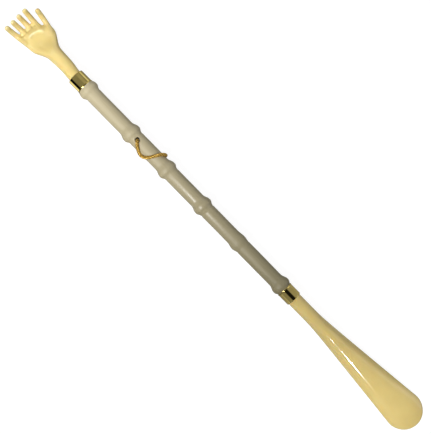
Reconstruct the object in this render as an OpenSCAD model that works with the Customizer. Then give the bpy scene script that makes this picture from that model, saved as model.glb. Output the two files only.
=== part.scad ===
// Back scratcher and shoe horn in one: a moulded hand and a moulded shoe horn, each glued by a tang
// into a bamboo-form handle, with a metal ferrule over each joint and a cord loop to hang it by.
// It lies palm up along X: hand at -X, shoe horn at +X, thumb towards +Y, table at Z = 0.

/* [Assembly] */
// Height of the handle's axis above the table it lies on
axis_h = 13; // [12.8:0.1:16]
// Glue gap left all round a piece that fits in another
glue_gap = 0.1; // [0.05:0.05:0.2]
// Diameter of the bore through the handle, which takes both tangs
bore_d = 8; // [6:0.5:9]
// Length of each tang inside the handle's bore
tang_l = 26; // [15:1:40]

/* [Handle] */
// Length of the handle that shows between the two ferrules
handle_l = 276; // [250:1:320]
// Diameter between the nodes, at the hand end
handle_d_hand = 16; // [15:0.1:17]
// Diameter between the nodes, at the horn end
handle_d_horn = 15.2; // [14.4:0.1:16.5]
// Distance between neighbouring nodes along the middle of the handle
node_pitch = 49.5; // [44:0.5:53]
// Distance of each end collar's crest from the end of the handle
collar_inset = 4.6; // [4:0.1:7]
// Height of a node's crest above the handle
node_rise = 2; // [0.8:0.1:2.4]
// Height of the one faint node, the last but one before the horn
faint_node_rise = 0.7; // [0.2:0.1:1.2]
// Length of a node's gentle slope, on the hand side
node_slope_l = 7; // [5:0.5:9]
// Length of a node's rounded crest
node_crest_l = 1.6; // [1:0.1:3]
// Length of a node's steep slope, on the horn side
node_fall_l = 4.6; // [3:0.2:6]
// Depth of the leaf-scar groove at the foot of the steep slope
scar_depth = 0.25; // [0.1:0.05:0.5]
// Width of the leaf-scar groove
scar_w = 1.6; // [1:0.1:3]

/* [Ferrules] */
// Length of the ferrule at the hand
hand_ferrule_l = 14.5; // [13:0.5:18]
// Outside diameter of the ferrule at the hand
hand_ferrule_d = 17.2; // [16.6:0.1:18]
// Length of the ferrule at the horn
horn_ferrule_l = 13.5; // [12:0.5:18]
// Outside diameter of the ferrule at the horn
horn_ferrule_d = 16.6; // [16.2:0.1:17.5]
// Thickness of the ferrules' sheet metal
ferrule_t = 0.5; // [0.4:0.05:0.7]
// Height of the rolled bead at each ferrule's handle edge
bead_h = 0.3; // [0.1:0.05:0.5]
// Width of the rolled bead
bead_w = 1.2; // [0.8:0.1:2]
// Length of the plug behind each ferrule's turned-in lip
plug_l = 6; // [4:0.5:8]

/* [Hand] */
// Length of the hand from the ferrule to the fingertips
hand_l = 81.5; // [78:0.5:95]
// Diameter of the wrist where it enters the ferrule
wrist_d = 13.2; // [12:0.1:14.5]
// Length of the wrist, up to the heel of the palm
wrist_l = 29; // [25:0.5:32]
// Width of the wrist at the heel of the palm
heel_w = 15.6; // [14:0.1:18]
// Height of the wrist at the heel of the palm
heel_h = 12.4; // [10:0.1:14]
// Length over which the wrist widens to the palm
palm_flare_l = 22; // [18:0.5:25]
// Reach of the palm from the handle's axis towards the thumb
palm_thumb_w = 17.9; // [16:0.1:19]
// Reach of the palm from the handle's axis towards the little finger
palm_little_w = 13.7; // [12:0.1:15]
// Drop of the palm's rim below the handle's axis
palm_rim_drop = 3.4; // [2:0.1:5]
// Depth of the hollow of the palm below its rim
palm_cup = 4.4; // [2:0.1:5.5]
// How far the wrist leans off the handle's axis towards the thumb
wrist_lean = 1.2; // [0:0.1:2]

/* [Fingers] */
// Distance between neighbouring fingers at their roots
finger_pitch = 7.1; // [6.8:0.05:7.4]
// Distance of the little finger's root from the handle's axis
little_finger_y = 12.8; // [12.4:0.1:13.4]
// Distance of the thumb's root from the handle's axis
thumb_y = 15.9; // [15.4:0.1:17]
// Width of a finger at its root
finger_w = 5.9; // [5:0.1:6.2]
// Width of a finger at its tip
fingertip_w = 4.7; // [3.5:0.1:5]
// Thickness of a finger at its root
finger_t = 5.4; // [4.5:0.1:6]
// Thickness of a finger at its tip
fingertip_t = 3.4; // [2.5:0.1:4.5]
// Radius that the fingers curl up on
curl_r = 15; // [12:0.5:17]
// Angle that the fingers curl through
curl_angle = 70; // [50:1:80]
// Angle that the fan of the fingers opens from one finger to the next
finger_fan = 5.3; // [3:0.1:6]
// How far the thumb is set back behind the fingers
thumb_set_back = 8.4; // [6:0.1:10]
// Angle that the thumb points away from the handle's axis
thumb_angle = 13; // [8:1:18]

/* [Shoe horn] */
// Length of the horn from the ferrule to the tip
horn_l = 175.5; // [155:0.5:200]
// Diameter of the round neck
neck_d = 14.4; // [13.6:0.1:15]
// Length of the neck before it starts to widen
neck_l = 25; // [15:1:35]
// Radius of the round tip, half the blade's greatest width
tip_r = 19.4; // [16:0.1:24]
// Thickness of the blade
blade_t = 2.2; // [1.8:0.1:3]
// Height of the blade's arch where it leaves the neck
arch_neck = 8.6; // [7:0.1:10]
// Height of the blade's arch across its widest place
arch_tip = 5.4; // [4:0.1:6.5]
// How far the round tip bends down, like a spoon's
tip_bend = 4; // [2:0.1:5]
// Length of the blade that bends down to the tip
tip_bend_l = 45; // [35:1:60]

/* [Hanging cord] */
// Diameter of the twisted cord
cord_d = 2.3; // [1.8:0.1:2.6]
// Diameter of the cord hole through the handle
cord_hole_d = 4.4; // [4:0.1:5.5]
// Width of the chamfer round each mouth of the cord hole
mouth_chamfer = 1.4; // [1.2:0.1:1.8]
// Distance of the cord hole from the crest of the node before it
cord_hole_offset = 8.8; // [7.5:0.1:12]
// Diameter of the knot that closes the loop
knot_d = 5.2; // [4.5:0.1:5.3]

/* [Hidden] */

// Places along X, worked out from the lengths so that the middle of the whole lies at X = 0
total_l = hand_l + hand_ferrule_l + handle_l + horn_ferrule_l + horn_l;
wrist_x = hand_l - total_l / 2;
handle_x = wrist_x + hand_ferrule_l;
handle_end_x = handle_x + handle_l;
neck_x = handle_end_x + horn_ferrule_l;
handle_mid = handle_l / 2;

// Nodes of the handle: distance from the hand end, and height
node_places = [collar_inset, handle_mid - 1.5 * node_pitch, handle_mid - node_pitch / 2,
    handle_mid + node_pitch / 2, handle_mid + 1.5 * node_pitch, handle_l - collar_inset];
node_rises = [node_rise, node_rise, node_rise, node_rise, faint_node_rise, node_rise];
slope_steps = 6;
fall_steps = 5;

// Joints at the ferrules
tang_d = bore_d - 2 * glue_gap;
lip_t = ferrule_t;
tang_chamfer = 0.6;
hand_spigot_l = hand_ferrule_l - lip_t - plug_l - 2 * glue_gap;
horn_spigot_l = horn_ferrule_l - lip_t - plug_l - 2 * glue_gap;
hand_plug_r = hand_ferrule_d / 2 - ferrule_t - glue_gap;
horn_plug_r = horn_ferrule_d / 2 - ferrule_t - glue_gap;

// Palm and fingers, by distance from the ferrule towards the fingertips
web_e = hand_l - (curl_r + fingertip_t / 2) * sin(curl_angle);
crease_set_back = 9;
crease_e = web_e - crease_set_back;
palm_deep_e = wrist_l + palm_flare_l;
index_edge = 3 * finger_pitch - little_finger_y + finger_w / 2;
thumb_web_l = 8;
knuckle_drop = 7.4;
knuckle_dip = 0.8;
knuckle_back_drop = 10.4;
knuckle_back_l = 16;
web_nose = 3.6;
hollow_start = 3;
hollow_slope_l = 14;
hollow_front_l = 6;
rim_inner = 0.84;
rim_level = 0.62;
rim_square = 0.72;
rim_mound_r = 4;
rim_proud = 1;
rim_out = 0.8;
heel_set = [6, 4.4];
thumb_ball_set = [9, 3.4];
thumb_web_r = 2.4;
pad_r = finger_w / 2;
pad_proud = 0.3;
pad_gather = 0.92;
finger_root_l = 8;
thumb_root_l = 12;
root_share = 0.75;
root_sink = 0.6;
fan_centre = 1.7;
tip_angles = [30, 55, 75];
wrist_steps = [0, 3, 7, 12, 18, 24];
palm_step = 2;
palm_points = 40;
finger_points = 14;
pad_facets = 20;

// Blade of the horn, by distance from the ferrule
blade_widest = horn_l - tip_r;
blade_points = 15;
edge_t = blade_t * 0.6;
edge_power = 6;
spread_start = 0.1;
blade_start = neck_l * 0.6;
blade_blend_l = neck_l * 1.8;
blade_step = 5;
tip_steps = [0, 12, 24, 36, 47, 57, 66, 74, 81, 86];

// Cord hole, and the cord's route from the hole's centre on the handle's axis
cord_hole_t = node_places[1] + cord_hole_offset;
cord_hole_x = handle_x + cord_hole_t;
cord_route = [[13, 4.4, -9.6], [10.5, 4.4, -9.6], [7.9, 3.5, -9.7], [5.2, 2, -9.6], [2.8, 0.9, -9],
    [1, 0.2, -7.2], [0.2, 0, -4.8], [0.2, -0.1, -2.4], [0.2, -0.2, 0], [0.2, -0.2, 2.4], [0.2, -0.3, 4.7],
    [0.7, -0.8, 7], [1.9, -2.1, 8.7], [3.7, -4, 9.2], [6.1, -5.9, 8.1], [8.6, -7.5, 6], [11.3, -8.4, 4.2],
    [14.2, -8.4, 4.2], [17, -7.3, 5.7], [19.3, -5.3, 7.6], [21.4, -2.7, 8.8], [23.1, 0.1, 9.2],
    [24.6, 3, 8.8], [26.1, 5.7, 7.3], [27.7, 7.9, 4.8], [28.9, 9, 1.8], [29.4, 9.1, -1.2],
    [29.3, 8.4, -4], [28.6, 7.2, -6.1], [27.2, 6, -7.7], [25, 5, -8.9], [22.1, 4.4, -9.6], [19, 4.4, -9.6]];
cord_sides = 8;
knot_lip = 0.2;

ivory = [0.93, 0.85, 0.6];
putty = [0.74, 0.7, 0.6];
gold = [0.8, 0.66, 0.3];

function mix(a, b, t) = a + (b - a) * t;
function clamped(t) = max(0, min(1, t));
function ease(t) = let (c = clamped(t)) c * c * (3 - 2 * c);
function power(v, p) = v < 0 ? -pow(-v, p) : pow(v, p);
function turned_round(list) = [for (i = [len(list) - 1 : -1 : 0]) list[i]];

// Faces of a solid that is skinned over rings of equal point counts and closed at both ends
function skin_faces(rings, points) = concat(
    [[for (i = [points - 1 : -1 : 0]) i]],
    [for (r = [0 : rings - 2], i = [0 : points - 1])
        let (a = r * points, b = a + points, j = (i + 1) % points)
        each [[a + i, a + j, b + j], [a + i, b + j, b + i]]],
    [[for (i = [0 : points - 1]) (rings - 1) * points + i]]);

module skin(rings) {
    points = [for (r = rings) each r];
    polyhedron(points, skin_faces(len(rings), len(rings[0])));
}

// Radius of the handle at a distance from its hand end
function node_height(t, i) =
    let (d = t - node_places[i], up = d + node_crest_l / 2, down = d - node_crest_l / 2)
    node_rises[i] * (up < 0 ? ease(1 + up / node_slope_l) : ease(1 - max(0, down) / node_fall_l))
    - scar_depth * ease(1 - abs(down - node_fall_l - scar_w / 2) / (scar_w / 2));
function handle_r(t) = mix(handle_d_hand, handle_d_horn, t / handle_l) / 2
    + node_height(t, 0) + node_height(t, 1) + node_height(t, 2)
    + node_height(t, 3) + node_height(t, 4) + node_height(t, 5);

function node_stations(c) = let (up = c - node_crest_l / 2, down = c + node_crest_l / 2) concat(
    [for (j = [0 : slope_steps]) up - node_slope_l * (1 - j / slope_steps)],
    [for (j = [0 : fall_steps]) down + node_fall_l * j / fall_steps],
    [down + node_fall_l + scar_w / 2, down + node_fall_l + scar_w]);
handle_stations = concat([0],
    [for (c = node_places, t = node_stations(c)) if (t > 0 && t < handle_l) t],
    [handle_l]);

// Half outline of the handle: bore, spigot, bamboo form, spigot
module handle_outline() {
    polygon(concat(
        [[bore_d / 2, -hand_spigot_l], [hand_plug_r, -hand_spigot_l], [hand_plug_r, 0]],
        [for (t = handle_stations) [handle_r(t), t]],
        [[horn_plug_r, handle_l], [horn_plug_r, handle_l + horn_spigot_l],
            [bore_d / 2, handle_l + horn_spigot_l]]));
}

module handle() {
    mouth_r = handle_r(cord_hole_t);
    color(putty) difference() {
        translate([handle_x, 0, axis_h]) rotate([0, 90, 0]) rotate_extrude($fn = 64) handle_outline();
        translate([cord_hole_x, 0, axis_h]) {
            cylinder(d = cord_hole_d, h = 4 * mouth_r, center = true, $fn = 32);
            for (side = [0, 180])
                rotate([side, 0, 0]) translate([0, 0, mouth_r - mouth_chamfer])
                    cylinder(d1 = cord_hole_d, d2 = cord_hole_d + 4 * mouth_chamfer,
                        h = 2 * mouth_chamfer, $fn = 32);
        }
    }
}

// Sleeve with a rolled bead at the handle, a rounded shoulder and a lip turned in to the neck
module ferrule_outline(length, d, neck) {
    r = d / 2;
    inner = r - ferrule_t;
    lip = neck / 2 + glue_gap;
    shoulder = min(ferrule_t, (r - lip) / 2);
    polygon(concat([[inner, 0]],
        [for (a = [0 : 30 : 180]) [r + bead_h * sin(a), bead_w * (1 - cos(a)) / 2]],
        [for (a = [0 : 30 : 90]) [r - shoulder * (1 - cos(a)), length - shoulder * (1 - sin(a))]],
        [[lip, length], [lip, length - lip_t], [inner, length - lip_t]]));
}

module upper_ferrule() {
    color(gold) translate([handle_x, 0, axis_h]) rotate([0, -90, 0])
        rotate_extrude($fn = 64) ferrule_outline(hand_ferrule_l, hand_ferrule_d, wrist_d);
}

module lower_ferrule() {
    color(gold) translate([handle_end_x, 0, axis_h]) rotate([0, 90, 0])
        rotate_extrude($fn = 64) ferrule_outline(horn_ferrule_l, horn_ferrule_d, neck_d);
}

// Rings of a tang with its plug, up to the lip of the ferrule; along is -1 for the hand, 1 for the horn
function disc(x, r, points) = [for (i = [0 : points - 1]) let (a = 360 * i / points)
    [x, r * cos(a), axis_h + r * sin(a)]];
function tang_rings(x, along, plug_r, neck_r, points) =
    let (lip = x - along * (lip_t + glue_gap), plug = lip - along * plug_l, end = plug - along * tang_l)
    [disc(end, tang_d / 2 - tang_chamfer, points), disc(end + along * tang_chamfer, tang_d / 2, points),
        disc(plug, tang_d / 2, points), disc(plug, plug_r, points),
        disc(lip, plug_r, points), disc(lip, neck_r, points)];

// Outline of the wrist and palm at a distance e from the ferrule
function flare(e) = ease((e - wrist_l) / palm_flare_l);
function wrist_w(e) = mix(wrist_d, heel_w, clamped(e / wrist_l)) / 2;
function lean(e) = wrist_lean * ease(e / (wrist_l / 2));
function thumb_edge(e) = mix(lean(e) + wrist_w(e), palm_thumb_w, flare(e))
    - (palm_thumb_w - index_edge) * ease((e - crease_e) / thumb_web_l + 0.5);
function little_edge(e) = mix(lean(e) - wrist_w(e), -palm_little_w, flare(e))
    - (little_finger_y + finger_w / 2 - palm_little_w) * clamped((e - crease_e) / crease_set_back);

// Heights of the palm's rim, back and hollow below the handle's axis
function palm_top(e) = mix(mix(wrist_d, heel_h, clamped(e / wrist_l)) / 2, -palm_rim_drop, flare(e))
    - knuckle_dip * ease((e - crease_e) / crease_set_back);
function palm_back(e) = mix(-mix(wrist_d, heel_h, clamped(e / wrist_l)) / 2, -axis_h,
        ease((e - wrist_l / 2) / (palm_deep_e - wrist_l / 2)))
    + (axis_h - knuckle_back_drop) * ease((e - palm_deep_e) / knuckle_back_l);
function hollow(e) = palm_cup * ease((e - wrist_l - hollow_start) / hollow_slope_l)
    * ease((crease_e + 1 - e) / hollow_front_l);
function nose(e) = let (n = clamped((e - web_e + web_nose) / web_nose)) sqrt(max(0.04, 1 - n * n));

function palm_ring(e) =
    let (hi = thumb_edge(e), lo = little_edge(e), top = palm_top(e), back = palm_back(e),
        mid = mix(back, top, mix(0.5, rim_level, flare(e))), square = mix(1, rim_square, flare(e)))
    [for (i = [0 : palm_points - 1])
        let (a = 360 * i / palm_points, u = power(cos(a), square), v = power(sin(a), square),
            dish = v > 0 ? hollow(e) * pow(max(0, 1 - pow(u / rim_inner, 2)), 1.5) : 0,
            h = (v > 0 ? (top - mid) * v : (mid - back) * v) * nose(e))
        [wrist_x - e, (hi + lo) / 2 + u * (hi - lo) / 2, axis_h + mid + h - dish]];

// A finger: a straight root in the palm, a curl, and a round tip; root is [e, y, z] where the curl starts
function finger_ring(root, fan, run, rise, turn, w, t) =
    let (c = [run * cos(fan), run * sin(fan)])
    [for (i = [0 : finger_points - 1])
        let (a = 360 * i / finger_points, side = w / 2 * cos(a), up = t / 2 * sin(a),
            out = c[0] - up * sin(turn) * cos(fan) - side * sin(fan),
            across = c[1] - up * sin(turn) * sin(fan) + side * cos(fan))
        [wrist_x - root[0] - out, root[1] + across, axis_h + root[2] + rise + up * cos(turn)]];

module finger(root, fan, root_l) {
    curl_steps = 8;
    tip_run = curl_r * sin(curl_angle);
    tip_rise = curl_r * (1 - cos(curl_angle));
    skin(concat(
        [finger_ring(root, fan, -root_l, -root_sink, 0, finger_w * root_share, finger_t * root_share),
            finger_ring(root, fan, -root_l / 2, -root_sink / 3, 0, finger_w, finger_t)],
        [for (j = [0 : curl_steps]) let (a = curl_angle * j / curl_steps, s = j / curl_steps)
            finger_ring(root, fan, curl_r * sin(a), curl_r * (1 - cos(a)), a,
                mix(finger_w, fingertip_w, s), mix(finger_t, fingertip_t, s))],
        [for (b = tip_angles) let (ahead = fingertip_w / 2 * sin(b))
            finger_ring(root, fan, tip_run + ahead * cos(curl_angle), tip_rise + ahead * sin(curl_angle),
                curl_angle, fingertip_w * cos(b), fingertip_t * cos(b))]));
}

// A soft swelling of the palm between two points [e, y, z]
module mound(a, b, r_a, r_b) {
    hull() {
        translate([wrist_x - a[0], a[1], axis_h + a[2]]) sphere(r = r_a, $fn = pad_facets);
        translate([wrist_x - b[0], b[1], axis_h + b[2]]) sphere(r = r_b, $fn = pad_facets);
    }
}

// The palm with the mounds that frame its hollow, a pad at the root of each finger, fingers and thumb
module scratcher_hand() {
    palm_stations = concat(wrist_steps, [for (e = [wrist_l : palm_step : crease_e + 2 * palm_step]) e],
        [for (n = [1, 0.5, 0.2, 0]) web_e - web_nose * n]);
    rim_z = rim_proud - palm_rim_drop - rim_mound_r;
    thumb = [web_e - thumb_set_back, thumb_y, -knuckle_drop];
    thumb_ball = [thumb[0] - thumb_ball_set[0], thumb_y - thumb_ball_set[1], rim_z];
    little_ball = [crease_e, rim_mound_r - palm_little_w - rim_out, rim_z];
    color(ivory) union() {
        skin(concat(tang_rings(wrist_x, -1, hand_plug_r, wrist_d / 2, palm_points),
            [for (e = palm_stations) palm_ring(e)]));
        for (i = [0 : 3]) {
            knuckle = [web_e, i * finger_pitch - little_finger_y, -knuckle_drop];
            pad = [crease_e + pad_r / 2, knuckle[1] * pad_gather, pad_proud - palm_rim_drop - pad_r];
            finger(knuckle, (i - fan_centre) * finger_fan, finger_root_l);
            mound(pad, knuckle, pad_r, pad_r);
        }
        finger(thumb, thumb_angle, thumb_root_l);
        mound(thumb_ball, thumb, rim_mound_r, pad_r);
        mound(little_ball, [web_e, -little_finger_y, -knuckle_drop], rim_mound_r, pad_r);
        mound([wrist_l + heel_set[0], wrist_lean + heel_set[1], -palm_rim_drop], thumb_ball,
            rim_mound_r, rim_mound_r);
        mound([wrist_l + heel_set[0], wrist_lean - heel_set[1], -palm_rim_drop], little_ball,
            rim_mound_r, rim_mound_r);
        mound([thumb[0], thumb_y - pad_r, -knuckle_drop],
            [thumb[0] + pad_r, index_edge - thumb_web_r, -knuckle_drop], thumb_web_r, thumb_web_r);
    }
}

// Blade of the horn at a distance d from the ferrule: how far it has widened, half width, crown and arch
function spread(d) = let (t = clamped((d - neck_l) / (blade_widest - neck_l)))
    (1 + spread_start) * t * t / (t + spread_start);
function half_width(d) = d < blade_widest ? mix(neck_d / 2, tip_r, spread(d))
    : sqrt(max(0, tip_r * tip_r - pow(d - blade_widest, 2)));
function arch(d) = mix(arch_neck, arch_tip, clamped((d - neck_l) / (blade_widest - neck_l)));
function bend_down(d) = tip_bend * pow(max(0, (d - horn_l + tip_bend_l) / tip_bend_l), 2);
blade_drop = neck_d / 2 + axis_h - bend_down(blade_widest) - arch_tip - edge_t;
function crown(d) = neck_d / 2 - blade_drop * spread(min(d, blade_widest))
    - blade_drop / blade_widest * max(0, d - blade_widest) - bend_down(d);
function blade_share(d) = ease((d - blade_start) / blade_blend_l);

// Points go over the top of the section and back along its under side
function blade_top(d, u) = let (wide = half_width(min(d, blade_widest)), y = u * half_width(d))
    mix(neck_d / 2 * sqrt(max(0, 1 - u * u)), crown(d) - arch(d) * pow(y / wide, 2), blade_share(d));
function blade_wall(d, u) = let (edge = sqrt(max(0, 1 - pow(u, edge_power))))
    mix(neck_d * sqrt(max(0, 1 - u * u)), blade_t * edge, blade_share(d));
function horn_ring(d) = let (n = blade_points)
    concat(
        [for (i = [0 : n]) let (u = cos(180 * i / n))
            [neck_x + d, u * half_width(d), axis_h + blade_top(d, u)]],
        [for (i = [n - 1 : -1 : 1]) let (u = cos(180 * i / n))
            [neck_x + d, u * half_width(d), axis_h + blade_top(d, u) - blade_wall(d, u)]]);

module shoe_horn() {
    blade_stations = [for (d = [0 : blade_step : blade_widest - blade_step]) d];
    color(ivory) skin(turned_round(concat(tang_rings(neck_x, 1, horn_plug_r, neck_d / 2, 2 * blade_points),
        [for (d = blade_stations) horn_ring(d)],
        [for (a = tip_steps) horn_ring(blade_widest + tip_r * sin(a))])));
}

// Tube swept along the cord's route, each ring square to the way that the cord runs there
function unit(v) = v / norm(v);
function heading(p, i) = unit(p[min(i + 1, len(p) - 1)] - p[max(i - 1, 0)]);
function carried(n, t) = unit(n - (n * t) * t);
function normals(p, i = 0, n = [0, 0, 1]) = i == len(p) ? []
    : let (m = carried(n, heading(p, i))) concat([m], normals(p, i + 1, m));
function tube_ring(p, r, n, t) = let (b = cross(n, t))
    [for (i = [0 : cord_sides - 1]) let (a = 360 * i / cord_sides) p + r * (cos(a) * n + sin(a) * b)];

module hanging_cord() {
    route = [for (p = cord_route) [cord_hole_x, 0, axis_h] + p];
    n = normals(route);
    color(gold) skin([for (i = [0 : len(route) - 1])
        tube_ring(route[i], cord_d / 2, n[i], heading(route, i))]);
}

// Barrel-shaped knot between the two ends of the cord
module cord_knot() {
    first = cord_route[0];
    last = cord_route[len(cord_route) - 1];
    length = last[0] - first[0];
    neck = cord_d / 2 + knot_lip;
    color(gold) translate([cord_hole_x, 0, axis_h] + first) rotate([0, 90, 0]) rotate_extrude($fn = 48)
        polygon(concat([[0, 0]],
            [for (a = [0 : 15 : 180]) [mix(neck, knot_d / 2, sin(a)), length * (1 - cos(a)) / 2]],
            [[0, length]]));
}

scratcher_hand();
upper_ferrule();
handle();
lower_ferrule();
shoe_horn();
hanging_cord();
cord_knot();
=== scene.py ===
"""Looks of a back scratcher with a shoe horn at its other end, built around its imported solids."""
import math

import bpy
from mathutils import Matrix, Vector, noise


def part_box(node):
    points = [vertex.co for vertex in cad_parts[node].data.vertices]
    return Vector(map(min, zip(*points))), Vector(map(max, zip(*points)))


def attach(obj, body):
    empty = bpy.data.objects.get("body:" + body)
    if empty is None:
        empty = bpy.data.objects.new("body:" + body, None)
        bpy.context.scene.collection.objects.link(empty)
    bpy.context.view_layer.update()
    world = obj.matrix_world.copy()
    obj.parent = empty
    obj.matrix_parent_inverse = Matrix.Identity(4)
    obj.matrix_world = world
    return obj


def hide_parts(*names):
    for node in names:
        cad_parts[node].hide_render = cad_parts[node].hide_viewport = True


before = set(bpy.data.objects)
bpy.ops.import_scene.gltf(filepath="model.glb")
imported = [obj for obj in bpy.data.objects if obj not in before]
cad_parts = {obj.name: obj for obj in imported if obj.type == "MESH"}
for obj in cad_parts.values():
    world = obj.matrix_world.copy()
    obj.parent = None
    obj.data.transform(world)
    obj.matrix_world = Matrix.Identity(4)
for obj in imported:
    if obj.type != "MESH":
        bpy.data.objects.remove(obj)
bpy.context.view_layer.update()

MM = 0.001
SMOOTH_ANGLE = math.radians(35)
MERGE_WITHIN = 0.001 * MM

# Places from the frame: where the hand, the handle and the horn start, and the height of the handle's axis
hand_ferrule_lo, hand_ferrule_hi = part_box("upper_ferrule")
horn_ferrule_lo, horn_ferrule_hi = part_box("lower_ferrule")
WRIST_X, HANDLE_X = hand_ferrule_lo.x, hand_ferrule_hi.x
HANDLE_END_X, NECK_X = horn_ferrule_lo.x, horn_ferrule_hi.x
AXIS_Z = (hand_ferrule_lo.z + hand_ferrule_hi.z) / 2
HORN_TIP_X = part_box("shoe_horn")[1].x
HANDLE_L = HANDLE_END_X - HANDLE_X
HAND_L = WRIST_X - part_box("scratcher_hand")[0].x

# The photograph: its height in pixels, its scale at the handle's axis, and how the object lies in it
PHOTO_H = 434
PIXEL = 0.9756 * MM
CAMERA_UP = 837 * MM
CAMERA_AT = (-5.6 * MM, 1.4 * MM)
PHOTO_TURN = math.radians(45.5)
SENSOR = 36.0
CLIP_NEAR, CLIP_FAR = 0.01, 20

# Handle
HANDLE_R_HAND = 8 * MM
HANDLE_R_HORN = 7.6 * MM
NODE_PITCH = 49.5 * MM
COLLAR_INSET = 4.6 * MM
NODE_RISE = 2 * MM
FAINT_NODE_RISE = 0.7 * MM
FAINT_NODE_SIDE = 0.6 * MM
NODE_SLOPE_L = 7 * MM
NODE_CREST_L = 1.6 * MM
NODE_FALL_L = 4.6 * MM
SCAR_DEPTH = 0.25 * MM
SCAR_W = 1.6 * MM
RIPPLE_PITCH = 3.7 * MM
RIPPLE_H = 0.05 * MM
HANDLE_WANDER = 0.12 * MM
WANDER_ALONG, WANDER_ROUND = 3, 0.8
STEADY_ENDS = 4
SKIN_SLACK = 0.5 * MM
HANDLE_SIDES = 96
HANDLE_STEP = 0.9 * MM
SPIGOT_L = 7 * MM
SPIGOT_STEP = 1 * MM

# Ferrules
FERRULE_T = 0.5 * MM
BEAD_H = 0.3 * MM
BEAD_W = 1.2 * MM
LIP_GAP = 0.1 * MM
LIP_CHAMFER = 0.1 * MM
FERRULE_SIDES = 96
BEAD_STEPS, PLAIN_STEPS, SHOULDER_STEPS = 12, 10, 8

# How far the hand and the horn reach into their ferrules
TUCK_L = 5 * MM

# Hand, by distance from the ferrule towards the fingertips
WRIST_D = 13.2 * MM
WRIST_L = 29 * MM
WRIST_LEAN = 1.2 * MM
HEEL_W = 15.6 * MM
HEEL_H = 12.4 * MM
PALM_FLARE_L = 22 * MM
PALM_THUMB_W = 17.9 * MM
PALM_LITTLE_W = 13.7 * MM
PALM_RIM_DROP = 2.5 * MM
PALM_END_L = 3.6 * MM
PALM_END_SHARES = (0.5, 0.2, 0)
PALM_END_LEAST = 0.04
PALM_SQUARENESS = 0.72
WRIST_MID, PALM_MID = 0.5, 0.62
PALM_SIDES = 48
PALM_STEP = 2 * MM
PALM_SMOOTHINGS, LINE_SMOOTHINGS = 30, 2
SMOOTHING = 0.5
HAND_VOXEL = 0.5 * MM

# Hollow of the palm: its depth, where it starts and ends, and its shape across
PALM_CUP = 0.8 * MM
CUP_FROM, CUP_FADE_IN = 3 * MM, 14 * MM
CUP_PAST_CREASE, CUP_FADE_OUT = 1 * MM, 6 * MM
CUP_W, CUP_ROUNDNESS = 0.84, 1.5

# Fingers and thumb
FINGERS = 4
FINGER_PITCH = 7.1 * MM
LITTLE_FINGER_Y = 12.8 * MM
THUMB_Y = 15.9 * MM
FINGER_W, FINGERTIP_W = 5.6 * MM, 5.2 * MM
FINGER_T, FINGERTIP_T = 5.4 * MM, 4.2 * MM
FINGER_ROOT_L, THUMB_ROOT_L = 8 * MM, 12 * MM
ROOT_SHARE = 0.7
CURL_R = 15 * MM
CURL_ANGLE = math.radians(70)
FINGER_FAN = math.radians(3.6)
FAN_CENTRE = 1.9
THUMB_SET_BACK = 8.4 * MM
THUMB_ANGLE = math.radians(11)
FINGER_SIDES = 20
ROOT_STEPS, CURL_STEPS = 4, 14
FINGERTIP_ANGLES = (20, 40, 55, 68, 80)
FINGERTIP_LEAST = 0.02
FINGER_SOFTNESS = 0.08

# Knuckles, the crease below the fingers, and the webs between them
KNUCKLE_DROP = 7.4 * MM
KNUCKLE_BACK_DROP = 10.4 * MM
KNUCKLE_RISE_L = 16 * MM
CREASE_SET_BACK = 9 * MM
CREASE_FALL = 0.8 * MM
WEB_E = HAND_L - (CURL_R + FINGERTIP_T / 2) * math.sin(CURL_ANGLE)
CREASE_E = WEB_E - CREASE_SET_BACK
PALM_DEEP_E = WRIST_L + PALM_FLARE_L
INDEX_EDGE = 3 * FINGER_PITCH - LITTLE_FINGER_Y + FINGER_W / 2
INDEX_EDGE_L = 8 * MM
WEB_REACH = 2.2 * MM
WEB_R = 2.1 * MM
WEB_ROOT_DROP = 0.5 * MM
THUMB_WEB_R = 2.4 * MM

# Mounds of the palm: pads below the fingers, and the balls of the thumb and the little finger
MOUND_SIDES, MOUND_RINGS = 24, 16
PAD_R = FINGER_W / 2
PAD_RISE = 0.3 * MM
PAD_GATHER = 0.92
RIM_R = 4 * MM
RIM_RISE = 1 * MM
THUMB_BALL_SET_BACK, THUMB_BALL_IN = 9 * MM, 3.4 * MM
LITTLE_BALL_SET_BACK, LITTLE_BALL_IN, LITTLE_BALL_DROP = 10 * MM, 0.8 * MM, 1.2 * MM

# Lines of the palm as (distance from the ferrule, side) points in millimetres, with their height,
# their width towards the wrist and their width towards the fingers; the first one is a ridge
PALM_LINES = [
    ([(59.4, -7.5), (59.8, -4), (59.9, -1), (59.3, 2), (58, 5), (55.4, 8.2), (53, 9.5)], 1.2 * MM, 1.1 * MM, 3.5 * MM),
    ([(50, -4.6), (44, -3.4), (38, -1.9), (33, -0.8), (28, -0.3), (22, -0.2)], -0.5 * MM, 2.3 * MM, 2.3 * MM),
    ([(70, 5.3), (66, 4.4), (62, 3.4)], -0.35 * MM, 1.1 * MM, 1.1 * MM),
    ([(70, -2.2), (66, -2.6), (61.5, -3.4)], -0.35 * MM, 1.1 * MM, 1.1 * MM),
    ([(70, -9.8), (65, -9.6), (59, -9.4)], -0.3 * MM, 1.1 * MM, 1.1 * MM)]
LINES_FROM, LINES_TO = 18 * MM, 72 * MM
LINE_FADE = 5
LINE_FACING, LINE_FACING_GAIN = 0.2, 2
# Painted highlight of the hand: its width across the palm's ridge, its strength at the fingertips, and how fast it
# grows where the skin faces up
HIGHLIGHT_W, TIP_HIGHLIGHT, HIGHLIGHT_FACING_GAIN = 0.9 * MM, 0.6, 3

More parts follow.
